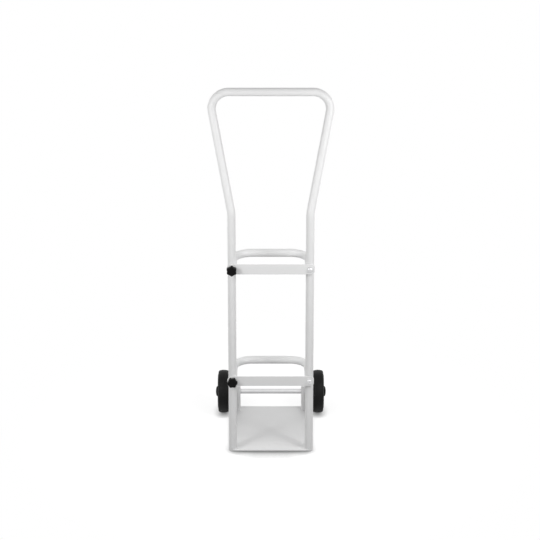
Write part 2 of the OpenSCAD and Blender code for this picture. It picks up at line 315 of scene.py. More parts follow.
def cut_or_join(piece, tool, operation):
    """Cuts a piece with a tool, or joins them, and removes the tool."""
    change = piece.modifiers.new("Change", "BOOLEAN")
    change.operation = operation
    change.solver = "EXACT"
    change.object = tool
    apply_modifier(piece, change)
    bpy.data.objects.remove(tool, do_unlink=True)
    tidy_mesh(piece)


def put_together(pieces, name):
    """Makes one piece of several, each still a closed shell."""
    take(pieces[0])
    for piece in pieces[1:]:
        piece.select_set(True)
    bpy.ops.object.join()
    return name_new(name)


def round_edges(piece, radius, sharper_than):
    """Rounds all edges of a piece that are sharper than an angle in degrees."""
    rounding = piece.modifiers.new("Rounding", "BEVEL")
    rounding.limit_method = "ANGLE"
    rounding.angle_limit = math.radians(sharper_than)
    rounding.width = radius
    rounding.segments = EDGE_STEPS
    apply_modifier(piece, rounding)


def copy_piece(piece, name, shift=(0, 0, 0), turn=(0, 0, 0), flip=False):
    """Copies a piece with its own mesh, moved, turned or mirrored to the other side."""
    take(piece)
    bpy.ops.object.duplicate(linked=False)
    copy = bpy.context.object
    copy.location = shift
    copy.rotation_euler = turn
    if flip:
        copy.scale = (-1, 1, 1)
    name_new(name)
    if flip:
        tidy_mesh(copy)
    return copy


def finish_piece(piece, body, slot, *nodes, crease=40):
    """Smooths a piece, gives it its finish and lets it ride on its body."""
    take(piece)
    bpy.ops.object.shade_smooth_by_angle(angle=math.radians(crease))
    evening = piece.modifiers.new("Even normals", "WEIGHTED_NORMAL")
    evening.keep_sharp = True
    apply_modifier(piece, evening)
    piece.data.materials.clear()
    piece.data.materials.append(FINISHES[slot])
    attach(piece, body)
    if nodes:
        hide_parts(*nodes)


def finish_sides(right, kind, slot, node, body="frame"):
    """Mirrors a piece of the right side to the left, and finishes both."""
    left = copy_piece(right, "left_" + kind, flip=True)
    for side, piece in (("right", right), ("left", left)):
        finish_piece(piece, body.format(side=side), slot, f"{side}_{node}")


def finish_levels(upper, kind, slot, node, heights, body="frame"):
    """Copies a piece of the upper level down to the lower one, and finishes both."""
    lower = copy_piece(upper, "lower_" + kind, (0, 0, heights["lower"] - heights["upper"]))
    for level, piece in (("upper", upper), ("lower", lower)):
        finish_piece(piece, body.format(level=level), slot, f"{level}_{node}")


# Finishes

def add_math(tree, operation, *operands):
    """Adds a Math node on sockets or numbers and returns its result."""
    node = tree.nodes.new("ShaderNodeMath")
    node.operation = operation
    for socket, operand in zip(node.inputs, operands):
        if isinstance(operand, bpy.types.NodeSocket):
            tree.links.new(operand, socket)
        else:
            socket.default_value = operand
    return node.outputs[0]


def add_range(tree, value, old, new, smooth=False):
    """Adds a Map Range node from an old to a new range and returns its result."""
    node = tree.nodes.new("ShaderNodeMapRange")
    node.interpolation_type = "SMOOTHSTEP" if smooth else "LINEAR"
    tree.links.new(value, node.inputs["Value"])
    labels = ("From Min", "From Max", "To Min", "To Max")
    for label, end in zip(labels, (*old, *new)):
        if isinstance(end, bpy.types.NodeSocket):
            tree.links.new(end, node.inputs[label])
        else:
            node.inputs[label].default_value = end
    return node.outputs["Result"]


def add_noise(tree, scale, detail=3.0):
    """Adds a noise on Object coordinates, with its scale from a socket, and returns its value."""
    place = tree.nodes.new("ShaderNodeTexCoord")
    noise = tree.nodes.new("ShaderNodeTexNoise")
    noise.inputs["Detail"].default_value = detail
    tree.links.new(place.outputs["Object"], noise.inputs["Vector"])
    tree.links.new(scale, noise.inputs["Scale"])
    return noise.outputs["Fac"]


def new_group(name, inputs, output, kind):
    """Starts a shared effect with named sockets and returns its tree, inputs and end."""
    tree = bpy.data.node_groups.new(name, "ShaderNodeTree")
    for label, input_kind, value in inputs:
        socket = tree.interface.new_socket(name=label, in_out="INPUT", socket_type=input_kind)
        socket.default_value = value
    tree.interface.new_socket(name=output, in_out="OUTPUT", socket_type=kind)
    end = tree.nodes.new("NodeGroupOutput")
    return tree, tree.nodes.new("NodeGroupInput").outputs, end.inputs[output]


def make_uneven_tone():
    """A colour that drifts a little lighter and darker over the surface."""
    tree, given, result = new_group(
        "Uneven tone",
        [("Colour", "NodeSocketColor", (0.8, 0.8, 0.8, 1)), ("Drift", "NodeSocketFloat", 0.05),
         ("Scale", "NodeSocketFloat", 20.0)],
        "Colour", "NodeSocketColor")
    centred = add_math(tree, "SUBTRACT", add_noise(tree, given["Scale"]), 0.5)
    share = add_math(tree, "MULTIPLY_ADD", centred, given["Drift"], 1.0)
    tone = tree.nodes.new("ShaderNodeVectorMath")
    tone.operation = "SCALE"
    tree.links.new(given["Colour"], tone.inputs[0])
    tree.links.new(share, tone.inputs["Scale"])
    tree.links.new(tone.outputs[0], result)
    return tree


def make_uneven_gloss():
    """A roughness that varies between two values over the surface."""
    tree, given, result = new_group(
        "Uneven gloss",
        [("Smoothest", "NodeSocketFloat", 0.3), ("Roughest", "NodeSocketFloat", 0.5),
         ("Scale", "NodeSocketFloat", 30.0)],
        "Roughness", "NodeSocketFloat")
    noise = add_noise(tree, given["Scale"])
    roughness = add_range(tree, noise, (0.3, 0.7), (given["Smoothest"], given["Roughest"]))
    tree.links.new(roughness, result)
    return tree


def make_skin_grain():
    """Fine relief of a sprayed or moulded skin: small bumps on a slower wave."""
    tree, given, result = new_group(
        "Skin grain",
        [("Fine scale", "NodeSocketFloat", 900.0), ("Wave scale", "NodeSocketFloat", 200.0),
         ("Wave share", "NodeSocketFloat", 0.4)],
        "Height", "NodeSocketFloat")
    blend = tree.nodes.new("ShaderNodeMix")
    blend.data_type = "FLOAT"
    tree.links.new(given["Wave share"], blend.inputs["Factor"])
    tree.links.new(add_noise(tree, given["Fine scale"], detail=2.0), blend.inputs["A"])
    tree.links.new(add_noise(tree, given["Wave scale"], detail=1.0), blend.inputs["B"])
    tree.links.new(blend.outputs["Result"], result)
    return tree


UNEVEN_TONE = make_uneven_tone()
UNEVEN_GLOSS = make_uneven_gloss()
SKIN_GRAIN = make_skin_grain()


def place_group(tree, group, **values):
    """Places a shared effect in a material with its own values."""
    node = tree.nodes.new("ShaderNodeGroup")
    node.node_tree = group
    for label, value in values.items():
        node.inputs[label.replace("_", " ")].default_value = value
    return node.outputs[0]


def make_finish(name, colour, drift, gloss, grain, depth, metal=0.0, specular=0.5):
    """A finish of a colour with its drift (amount, scale), a gloss (smoothest, roughest, scale) and
    a grain (fine scale, wave scale, the wave's share) of some depth."""
    finish = bpy.data.materials.new(name)
    finish.use_nodes = True
    tree = finish.node_tree
    shader = tree.nodes["Principled BSDF"]
    shader.inputs["Metallic"].default_value = metal
    shader.inputs["Specular IOR Level"].default_value = specular
    bump = tree.nodes.new("ShaderNodeBump")
    bump.inputs["Strength"].default_value = 1.0
    bump.inputs["Distance"].default_value = depth
    tone = place_group(tree, UNEVEN_TONE, Colour=(*colour, 1), Drift=drift[0], Scale=drift[1])
    shine = place_group(tree, UNEVEN_GLOSS, Smoothest=gloss[0], Roughest=gloss[1], Scale=gloss[2])
    skin = place_group(tree, SKIN_GRAIN, Fine_scale=grain[0], Wave_scale=grain[1], Wave_share=grain[2])
    tree.links.new(tone, shader.inputs["Base Color"])
    tree.links.new(shine, shader.inputs["Roughness"])
    tree.links.new(skin, bump.inputs["Height"])
    tree.links.new(bump.outputs["Normal"], shader.inputs["Normal"])
    return finish


FINISHES = {
    "paint": make_finish("white_powder_coat", (0.80, 0.80, 0.80), (0.03, 18), (0.34, 0.46, 40),
                         (900, 320, 0.5), 0.12 * MM),
    "zinc": make_finish("zinc_plate", (0.66, 0.66, 0.665), (0.10, 60), (0.38, 0.52, 90),
                        (1500, 400, 0.3), 0.012 * MM, metal=1.0),
    "tyre": make_finish("black_rubber", (0.004, 0.004, 0.004), (0.4, 30), (0.50, 0.60, 50),
                        (1000, 250, 0.3), 0.08 * MM, specular=0.15),
    "black_plastic": make_finish("black_moulding", (0.004, 0.004, 0.004), (0.3, 40), (0.34, 0.48, 60),
                                 (1300, 400, 0.2), 0.08 * MM, specular=0.08),
    "nylon": make_finish("natural_nylon", (0.70, 0.68, 0.62), (0.06, 50), (0.40, 0.55, 60),
                         (1500, 400, 0.3), 0.02 * MM),
    "brass": make_finish("turned_brass", (0.55, 0.38, 0.14), (0.12, 80), (0.22, 0.38, 120),
                         (2000, 500, 0.3), 0.015 * MM, metal=1.0),
}


def dress_cad_nodes():
    """Gives each CAD node the finish of its material slot in the record."""
    for subpart in frame["record"]["subparts"]:
        mesh = frame["nodes"][subpart["node"]].data
        mesh.materials.clear()
        mesh.materials.append(FINISHES[subpart["material_slot"]])


# Starting shapes

def add_rod(name, radius, length, place, axis, sides=BORE_SIDES):
    """Adds a rod with its middle at a place, along an axis."""
    clear_selection()
    bpy.ops.mesh.primitive_cylinder_add(vertices=sides, radius=radius, depth=length, location=place,
                                        rotation=TURNED_TO[axis])
    return name_new(name)


def add_block(name, low, high):
    """Adds a block between two corners."""
    clear_selection()
    bpy.ops.mesh.primitive_cube_add(size=1, location=(low + high) / 2, scale=high - low)
    return name_new(name)


def round_upright_edges(piece, radius, steps):
    """Rounds the corners of a block as seen from above."""
    edit(piece)
    heights = [vert.co.z for vert in piece.data.vertices]
    centre = (min(heights) + max(heights)) / 2
    pick(piece, "EDGE", lambda at: abs(at.z - centre) < TINY)
    bpy.ops.mesh.bevel(offset=radius, segments=steps, affect="EDGES")
    close_edit()


# Tubes

def draw_tube(name, corners, bend_radii):
    """Draws a tube through its corners: a disc pushed along the straights and spun round the bends."""
    place = corners[0]
    heading = (corners[1] - place).normalized()
    clear_selection()
    bpy.ops.mesh.primitive_circle_add(vertices=TUBE_SIDES, radius=TUBE_R, fill_type="NGON", location=place,
                                      rotation=heading.to_track_quat("Z", "Y").to_euler())
    piece = name_new(name)
    edit(piece)
    bpy.ops.mesh.select_mode(type="EDGE")
    for corner, after, radius in zip(corners[1:-1], corners[2:], bend_radii):
        new_heading = (after - corner).normalized()
        angle = heading.angle(new_heading)
        bend_start = corner - heading * radius * math.tan(angle / 2)
        push(bend_start - place)
        inward = (new_heading - heading * heading.dot(new_heading)).normalized()
        steps = max(FEWEST_BEND_STEPS, round(math.degrees(angle) / BEND_STEP_DEG))
        bpy.ops.mesh.spin(steps=steps, angle=angle, center=bend_start + inward * radius,
                          axis=inward.cross(heading))
        place = corner + new_heading * radius * math.tan(angle / 2)
        heading = new_heading
    push(corners[-1] - place)
    close_edit()
    return piece


def mirror_half(piece):
    """Completes a tube that was drawn for the right side up to the middle."""
    edit(piece)
    pick(piece, "FACE", lambda at: abs(at.x) < TINY)
    bpy.ops.mesh.delete(type="ONLY_FACE")
    close_edit()
    other_half = piece.modifiers.new("Other half", "MIRROR")
    other_half.use_axis = (True, False, False)
    other_half.merge_threshold = TINY
    apply_modifier(piece, other_half)
    tidy_mesh(piece)


def make_frame_tube():
    """Both legs and the handle, bent from one tube."""
    handle_run = (HANDLE_H - WAIST_H) / math.cos(HANDLE_LEAN)
    corner_up = handle_run - CORNER_R
    corner_out = HANDLE_W / 2 - CORNER_R - LEG_X
    flare = math.atan2(corner_out, corner_up) + math.asin(CORNER_R / math.hypot(corner_out, corner_up))
    up_handle = Vector((0, math.sin(HANDLE_LEAN), math.cos(HANDLE_LEAN)))
    foot = Vector((LEG_X, 0, PLATE_T))
    waist = Vector((LEG_X, 0, WAIST_H))
    bar = waist + up_handle * handle_run
    corner = bar + Vector((handle_run * math.tan(flare), 0, 0))
    bar_middle = Vector((0, bar.y, bar.z))
    piece = draw_tube("bent_frame_tube", [foot, waist, corner, bar_middle], [WAIST_R, CORNER_R])
    mirror_half(piece)
    finish_piece(piece, "frame", "paint", "frame_tube")


def make_cradles():
    """U-shaped tubes behind the legs, their ends set into them."""
    height = CRADLE_H["upper"]
    corners = [Vector((CRADLE_X, 0, height)), Vector((CRADLE_X, CRADLE_DEPTH, height)),
               Vector((0, CRADLE_DEPTH, height))]
    piece = draw_tube("upper_bent_cradle", corners, [CRADLE_R])
    mirror_half(piece)
    for sign in SIDES.values():
        leg = add_rod("leg_cutter", TUBE_R - CRADLE_SET_IN, 4 * TUBE_R, (sign * LEG_X, 0, height), "Z",
                      TUBE_SIDES)
        cut_or_join(piece, leg, "DIFFERENCE")
    finish_levels(piece, "bent_cradle", "paint", "cradle", CRADLE_H)


# Plate and post lids

def make_base_plate():
    """Steel plate with round corners and softened edges."""
    low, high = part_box("base_plate")
    piece = add_block("rounded_plate", low, high)
    round_upright_edges(piece, TUBE_R, PLATE_CORNER_STEPS)
    for height, radius in ((low.z, PLATE_LOWER_R), (high.z, PLATE_UPPER_R)):
        edit(piece)
        pick(piece, "EDGE", lambda at: abs(at.z - height) < TINY)
        bpy.ops.mesh.bevel(offset=radius, segments=PLATE_EDGE_STEPS, affect="EDGES")
        close_edit()
    finish_piece(piece, "frame", "paint", "base_plate")


def make_post_lids():
    """Lids on the axle posts, with soft edges."""
    low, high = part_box("right_post_cap")
    piece = add_block("right_post_lid", Vector((low.x, low.y, high.z - LID_T)), high)
    round_upright_edges(piece, LID_CORNER_R, LID_CORNER_STEPS)
    round_edges(piece, LID_EDGE_R, sharper_than=60)
    finish_sides(piece, "post_lid", "paint", "post_cap")


# Turned pieces: a section drawn in the plane of its axis and spun round it

def add_section(name, start, inner_r, length, wall):
    """Adds a flat section: it lies along +X from start, and its wall stands above the X axis."""
    clear_selection()
    bpy.ops.mesh.primitive_plane_add(size=1, location=(start + length / 2, inner_r + wall / 2, 0))
    bpy.context.object.scale = (length, wall, 1)
    return name_new(name)


def round_section(piece, radius, wanted):
    """Rounds the corners of a section that are wanted."""
    edit(piece)
    pick(piece, "VERT", wanted)
    bpy.ops.mesh.bevel(offset=radius, segments=EDGE_STEPS, affect="VERTICES")
    close_edit()


def dome_section(piece, cuts, reach):
    """Divides the outline of a section and presses its far side in to a reach for each radius."""
    edit(piece)
    bpy.ops.mesh.subdivide(number_cuts=cuts)
    bpy.ops.mesh.dissolve_faces()
    move_points(piece, lambda at: Vector((min(at.x, reach(at.y)), at.y, at.z)))
    bpy.ops.mesh.select_all(action="SELECT")
    bpy.ops.mesh.remove_doubles(threshold=TINY)
    close_edit()


def turn_section(piece, steps=TURN_STEPS):
    """Spins the outline of a section once round the X axis, without its edges on the axis."""
    edit(piece)
    bpy.ops.mesh.dissolve_faces()
    bpy.ops.mesh.select_all(action="SELECT")
    bpy.ops.mesh.delete(type="ONLY_FACE")
    pick(piece, "EDGE", lambda at: at.y < TINY)
    bpy.ops.mesh.delete(type="EDGE")
    bpy.ops.mesh.select_all(action="SELECT")
    bpy.ops.mesh.spin(steps=steps, angle=math.tau, center=(0, 0, 0), axis=(1, 0, 0))
    tidy_normals()
    close_edit()


def stand_at(piece, place, outwards):
    """Moves a piece that was made along +X to its place, with +X turned outwards."""
    take(piece)
    piece.location = place
    piece.rotation_euler = Vector(outwards).to_track_quat("X", "Z").to_euler()
    settle()


def make_ring(name, place, outwards, length, inner_r, outer_r, edge_r):
    """Ring with softened edges that starts at a place and runs outwards."""
    piece = add_section(name, 0, inner_r, length, outer_r - inner_r)
    round_section(piece, edge_r, lambda at: True)
    turn_section(piece)
    stand_at(piece, place, outwards)
    return piece


# Axle ends and wheels

def on_axle(x):
    """Place on the axle's centre line."""
    return Vector((x, AXLE_Y, AXLE_Z))


def make_axle_ends():
    """Spacers, end washers and push-on caps on both ends of the axle."""
    spacer = make_ring("right_turned_spacer", on_axle(SPACER_X), OUTWARDS, SPACER_LEN, AXLE_R + PLAY,
                       SPACER_R, SPACER_EDGE_R)
    finish_sides(spacer, "turned_spacer", "zinc", "spacer")
    washer = make_ring("right_pressed_washer", on_axle(END_WASHER_X), OUTWARDS, END_WASHER_T, AXLE_R + PLAY,
                       END_WASHER_R, END_WASHER_EDGE_R)
    finish_sides(washer, "pressed_washer", "zinc", "end_washer")
    finish_sides(make_axle_cap(), "push_cap", "black_plastic", "axle_cap")


def make_axle_cap():
    """Domed plastic cap, hollow at the back over the end washer."""
    piece = add_section("right_push_cap", 0, 0, CAP_H, CAP_R)

    def bowl(radius):
        return CAP_SKIRT + (CAP_H - CAP_SKIRT) * math.sqrt(max(0, 1 - (radius / CAP_R) ** 2))

    dome_section(piece, CAP_CUTS, bowl)
    turn_section(piece)
    seat = add_rod("washer_seat", END_WASHER_R + PLAY, 2 * END_WASHER_T, (0, 0, 0), "X", TURN_STEPS)
    cut_or_join(piece, seat, "DIFFERENCE")
    stand_at(piece, on_axle(CAP_X), OUTWARDS)
    return piece


def make_tyre():
    """Solid tyre with a crowned tread, round shoulders and a raised band on each side."""
    piece = add_section("right_rubber_tyre", -TYRE_W / 2, RIM_R, TYRE_W, WHEEL_R - RIM_R)
    half_tread = TREAD_W / 2
    shoulder = WHEEL_R - SHOULDER_R
    edit(piece)
    pick(piece, "VERT", lambda at: at.y > WHEEL_R - TINY)
    bpy.ops.transform.resize(value=(TREAD_W / TYRE_W, 1, 1), center_override=(0, WHEEL_R, 0))
    bpy.ops.mesh.bevel(offset=SHOULDER_R, segments=SHOULDER_STEPS, affect="VERTICES")
    pick(piece, "EDGE", lambda at: at.y > WHEEL_R - TINY)
    bpy.ops.mesh.subdivide(number_cuts=TREAD_CUTS)

    def crown(at):
        share = min(1, abs(at.x) / half_tread)
        drop = TREAD_CROWN * share ** 2 if at.y > shoulder else 0
        return Vector((at.x, at.y - drop, at.z))

    move_points(piece, crown)
    pick(piece, "EDGE", lambda at: abs(at.x) > half_tread and RIM_R + TINY < at.y < shoulder)
    bpy.ops.mesh.subdivide(number_cuts=SIDEWALL_CUTS)

    def band(at):
        raised = RIM_R + BAND_LOW < at.y < RIM_R + BAND_HIGH and abs(at.x) > half_tread
        rise = math.copysign(BAND_RISE, at.x) if raised else 0
        return Vector((at.x + rise, at.y, at.z))

    move_points(piece, band)
    close_edit()
    turn_section(piece, TYRE_STEPS)
    stand_at(piece, on_axle(WHEEL_X), OUTWARDS)
    return piece


def make_hub():
    """Moulded wheel centre: rim, web and hub in one, with ribs on both faces."""
    web_inner_r = HUB_R - OVERLAP
    web_outer_r = RIM_R - RIM_T + OVERLAP
    piece = add_section("right_moulded_hub", -WEB_T / 2, web_inner_r, WEB_T, web_outer_r - web_inner_r)
    turn_section(piece, WEB_STEPS)
    rim = make_ring("rim", (-RIM_W / 2, 0, 0), OUTWARDS, RIM_W, RIM_R - RIM_T, RIM_R - PLAY, HUB_EDGE_R)
    cut_or_join(piece, rim, "UNION")
    core = make_ring("core", (-HUB_W / 2, 0, 0), OUTWARDS, HUB_W, BUSH_R + PLAY, HUB_R, HUB_EDGE_R)
    cut_or_join(piece, core, "UNION")
    rib = add_block("rib", Vector((-RIB_W / 2, -RIB_T / 2, web_inner_r)),
                    Vector((RIB_W / 2, RIB_T / 2, web_outer_r)))
    round_upright_edges(rib, RIB_EDGE_R, RIB_EDGE_STEPS)
    ribs = [rib]
    for i in range(1, RIB_N):
        ribs.append(copy_piece(rib, "rib_copy", turn=(math.tau * i / RIB_N, 0, 0)))
    cut_or_join(piece, put_together(ribs, "ribs"), "UNION")
    stand_at(piece, on_axle(WHEEL_X), OUTWARDS)
    return piece


def make_wheels():
    """Right wheel, and the left one as its mirror image."""
    finish_sides(make_tyre(), "rubber_tyre", "tyre", "tyre", "{side}_wheel")
    finish_sides(make_hub(), "moulded_hub", "black_plastic", "hub", "{side}_wheel")


# Retaining bars and their fasteners

def on_leg(sign, y, level="upper"):
    """Place at the height of a bar, in front of or behind a leg's centre line."""
    return Vector((sign * LEG_X, y, STRAP_H[level]))


def make_straps():
    """Flat bars with round ends, a pivot hole and a slot that is open downwards."""
    low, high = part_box("upper_strap")
    piece = add_block("upper_flat_bar", low, high - Vector((PIVOT_END_TRIM, 0, 0)))
    thick = high.y - low.y
    half = (high.z - low.z) / 2
    centre = (low.y + high.y) / 2
    edit(piece)
    for sign, end_r in ((-1, half - KNOB_END_TRIM), (1, PIVOT_END_R)):
        pick(piece, "EDGE", lambda at: abs(at.y - centre) < TINY and at.x * sign > LEG_X / 2)
        bpy.ops.mesh.bevel(offset=end_r, segments=STRAP_END_STEPS, affect="EDGES")
    tidy_normals()
    close_edit()
    drill = add_rod("drill", PIVOT_R + PIVOT_PLAY, 4 * thick, on_leg(1, centre), "Y")
    cut_or_join(piece, drill, "DIFFERENCE")
    slot = add_rod("slot_cutter", SLOT_R, 4 * thick, on_leg(-1, centre), "Y")
    way_out = add_block("way_out", on_leg(-1, low.y - thick) - Vector((SLOT_R, 0, 2 * half)),
                        on_leg(-1, high.y + thick) + Vector((SLOT_R, 0, 0)))
    cut_or_join(slot, way_out, "UNION")
    cut_or_join(piece, slot, "DIFFERENCE")
    round_edges(piece, STRAP_EDGE_R, sharper_than=50)
    finish_levels(piece, "flat_bar", "paint", "strap", STRAP_H, "{level}_bar")


def make_leg_bosses():
    """Bosses on the front of both legs, set into the tubes."""
    for kind, sign in (("pivot", 1), ("stud", -1)):
        piece = make_ring(f"upper_{kind}_pad", on_leg(sign, BOSS_BACK_Y), FRONT, BOSS_BACK_Y - BOSS_FRONT_Y,
                          PIVOT_R + PLAY, BOSS_R, BOSS_EDGE_R)
        finish_levels(piece, f"{kind}_pad", "paint", f"{kind}_boss", STRAP_H)


def make_pivot_bolts():
    """Button-head bolts with a hexagon socket."""
    piece = add_section("upper_button_bolt", 0, 0, HEAD_H, HEAD_R)
    dome_r = (HEAD_R ** 2 + HEAD_DOME ** 2) / (2 * HEAD_DOME)
    rim_x = HEAD_H - HEAD_DOME
    dome_section(piece, HEAD_CUTS, lambda radius: HEAD_H - dome_r + math.sqrt(dome_r ** 2 - radius ** 2))
    round_section(piece, HEAD_EDGE_R,
                  lambda at: at.y > HEAD_R - TINY and (at.x < TINY or at.x > rim_x - TINY))
    turn_section(piece)
    key = add_rod("key", SOCKET_AF / math.sqrt(3), 2 * SOCKET_DEEP, (HEAD_H, 0, 0), "X", 6)
    cut_or_join(piece, key, "DIFFERENCE")
    shank = add_rod("shank", PIVOT_R, SHANK_LEN + OVERLAP, ((OVERLAP - SHANK_LEN) / 2, 0, 0), "X")
    cut_or_join(piece, shank, "UNION")
    stand_at(piece, on_leg(1, WASHER_FRONT_Y), FRONT)
    finish_levels(piece, "button_bolt", "zinc", "pivot_bolt", STRAP_H)


def make_washers():
    """Washers under the heads of the pivot bolts, and loose ones under the knobs."""
    under_head = make_ring("upper_pivot_disc", on_leg(1, WASHER_BACK_Y), FRONT, WASHER_T, PIVOT_R + PLAY,
                           WASHER_R, WASHER_EDGE_R)
    finish_levels(under_head, "pivot_disc", "zinc", "pivot_washer", STRAP_H)
    under_knob = make_ring("upper_knob_disc", on_leg(-1, WASHER_BACK_Y), FRONT, WASHER_T,
                           STUD_R + STUD_WASHER_PLAY, WASHER_R, WASHER_EDGE_R)
    finish_levels(under_knob, "knob_disc", "zinc", "knob_washer", STRAP_H, "{level}_washer")


def make_studs():
    """Threaded studs: one pitch of the thread's outline, screwed along the stud and closed at its ends."""
    clear_selection()
    bpy.ops.mesh.primitive_plane_add(size=PITCH, location=(PITCH / 2, STUD_R - PITCH / 2, 0))
    piece = name_new("upper_threaded_stud")
    edit(piece)
    bpy.ops.mesh.delete(type="ONLY_FACE")
    pick(piece, "EDGE", lambda at: at.y > STUD_R - TINY)
    bpy.ops.mesh.subdivide(number_cuts=THREAD_CUTS)
    pick(piece, "VERT", lambda at: at.y < STUD_R - TINY)
    bpy.ops.mesh.delete(type="VERT")

    def groove(at):
        from_crest = abs(at.x / PITCH - 0.5) * 2
        share = max(0, min(1, THREAD_FLANK * from_crest - THREAD_CREST))
        return Vector((at.x, STUD_R - THREAD_DEPTH * share, 0))

    move_points(piece, groove)
    close_edit()
    thread = piece.modifiers.new("Thread", "SCREW")
    thread.axis = "X"
    thread.screw_offset = PITCH
    thread.iterations = math.floor(STUD_LEN / PITCH) - 1
    thread.steps = THREAD_STEPS
    thread.render_steps = THREAD_STEPS
    thread.use_merge_vertices = True
    thread.merge_threshold = TINY
    apply_modifier(piece, thread)
    edit(piece)
    tidy_normals()
    bpy.ops.mesh.select_mode(type="EDGE")
    bpy.ops.mesh.select_all(action="DESELECT")
    bpy.ops.mesh.select_non_manifold()
    bpy.ops.mesh.extrude_edges_move()
    bpy.ops.mesh.merge(type="COLLAPSE")
    tidy_normals()
    close_edit()
    stand_at(piece, on_leg(-1, STUD_ROOT_Y), FRONT)
    finish_levels(piece, "threaded_stud", "zinc", "stud", STRAP_H)


def knob_outline(angle):
    """Radius of the star knob at an angle: round lobes on a round core, with soft corners between."""
    turn = math.tau / LOBE_N
    off = (angle + turn / 2) % turn - turn / 2
    lobe_middle = KNOB_R - LOBE_R
    aside = lobe_middle * math.sin(off)
    lobe = 0
    if abs(aside) < LOBE_R:
        lobe = lobe_middle * math.cos(off) + math.sqrt(LOBE_R ** 2 - aside ** 2)
    near = max(LOBE_FILLET - abs(lobe - KNOB_CORE_R), 0) / LOBE_FILLET
    return max(lobe, KNOB_CORE_R) + near * near * LOBE_FILLET / 4


def knob_stations():
    """Scales and heights of the knob's outline from its back rim to the middle of its dome."""
    stations = []
    for i in range(KNOB_BACK_STEPS + 1):
        turn = math.pi / 2 * i / KNOB_BACK_STEPS
        inset = KNOB_BACK_RIM * (1 - math.sin(turn))
        stations.append((1 - inset / KNOB_R, COLLAR_H + KNOB_BACK_RIM * (1 - math.cos(turn))))
    for i in range(KNOB_FRONT_STEPS + 1):
        turn = math.pi / 2 * i / KNOB_FRONT_STEPS
        inset = KNOB_FRONT_RIM * (1 - math.cos(turn))
        stations.append((1 - inset / KNOB_R, KNOB_H - KNOB_FRONT_RIM * (1 - math.sin(turn))))
    for share in KNOB_DOME_SHARES:
        stations.append((share, KNOB_H))
    return stations


def draw_knob():
    """Star knob along +Z: a lobed outline pushed up in stations, with round rims and a domed front."""
    clear_selection()
    bpy.ops.mesh.primitive_circle_add(vertices=KNOB_POINTS, radius=KNOB_R, fill_type="NGON")
    piece = name_new("upper_moulded_knob")
    edit(piece)

    def lobes(at):
        angle = math.atan2(at.y, at.x)
        radius = knob_outline(angle)
        return Vector((radius * math.cos(angle), radius * math.sin(angle), COLLAR_H))

    move_points(piece, lobes)
    bpy.ops.mesh.select_mode(type="FACE")
    bpy.ops.mesh.select_all(action="SELECT")
    scale = 1.0
    height = COLLAR_H
    for new_scale, new_height in knob_stations():
        push((0, 0, new_height - height))
        ratio = new_scale / scale
        bpy.ops.transform.resize(value=(ratio, ratio, 1), center_override=(0, 0, 0))
        scale = new_scale
        height = new_height
    bpy.ops.mesh.merge(type="CENTER")
    dome_r = (KNOB_R ** 2 + KNOB_DOME ** 2) / (2 * KNOB_DOME)
    front_rim = KNOB_H - KNOB_FRONT_RIM

    def dome(at):
        if at.z < front_rim - TINY:
            return at
        drop = dome_r - math.sqrt(dome_r ** 2 - at.x ** 2 - at.y ** 2)
        return Vector((at.x, at.y, at.z - drop))

    move_points(piece, dome)
    bpy.ops.mesh.select_all(action="SELECT")
    bpy.ops.mesh.normals_make_consistent(inside=False)
    close_edit()
    return piece


def make_knobs():
    """Star knobs on a collar, bored for their inserts, each turned as it was last tightened."""
    upper = draw_knob()
    collar = make_ring("collar", (0, 0, 0), (0, 0, 1), COLLAR_H + COLLAR_OVERLAP, INSERT_R - OVERLAP,
                       COLLAR_R, COLLAR_EDGE_R)
    cut_or_join(upper, collar, "UNION")
    bore = add_rod("insert_bore", INSERT_R + PLAY, 2 * INSERT_LEN, (0, 0, 0), "Z", INSERT_BORE_SIDES)
    cut_or_join(upper, bore, "DIFFERENCE")
    lower = copy_piece(upper, "lower_moulded_knob")
    to_front = Matrix.Rotation(math.pi / 2, 3, "X")
    for level, piece in (("upper", upper), ("lower", lower)):
        take(piece)
        piece.location = on_leg(-1, KNOB_BACK_Y, level)
        piece.rotation_euler = (to_front @ Matrix.Rotation(KNOB_TURN[level], 3, "Z")).to_euler()
        settle()
        finish_piece(piece, level + "_star_knob", "black_plastic", level + "_knob")


# Painted welds

def make_bead(name, points, closed):
    """Weld bead along points, with slow ripples, and thin at open ends."""
    clear_selection()
    bpy.ops.curve.primitive_bezier_curve_add()
    curve = bpy.context.object.data
    curve.splines.clear()
    line = curve.splines.new("POLY")
    line.points.add(len(points) - 1)
    for i, point in enumerate(points):
        from_end = min(i, len(points) - 1 - i)
        taper = 1 if closed else min(1, BEAD_THIN_END + from_end / BEAD_TAPER_POINTS)
        ripple = 1 + BEAD_RIPPLE * math.sin(i * math.tau / BEAD_RIPPLE_POINTS)
        line.points[i].co = (*point, 1)
        line.points[i].radius = ripple * taper
    line.use_cyclic_u = closed
    curve.dimensions = "3D"
    curve.bevel_depth = BEAD_R
    curve.bevel_resolution = 3
    curve.use_fill_caps = not closed
    bpy.ops.object.convert(target="MESH")
    return name_new(name)


def foot_points(side):
    """Points round the foot of a leg, except at the plate's outer corner."""
    radius = TUBE_R + BEAD_STAND_OFF
    points = []
    for i in range(FOOT_BEAD_POINTS):
        angle = FOOT_BEAD_START[side] + FOOT_BEAD_SWEEP * i / (FOOT_BEAD_POINTS - 1)
        points.append(Vector((SIDES[side] * LEG_X + radius * math.cos(angle), radius * math.sin(angle),
                              PLATE_T + BEAD_RISE)))
    return points


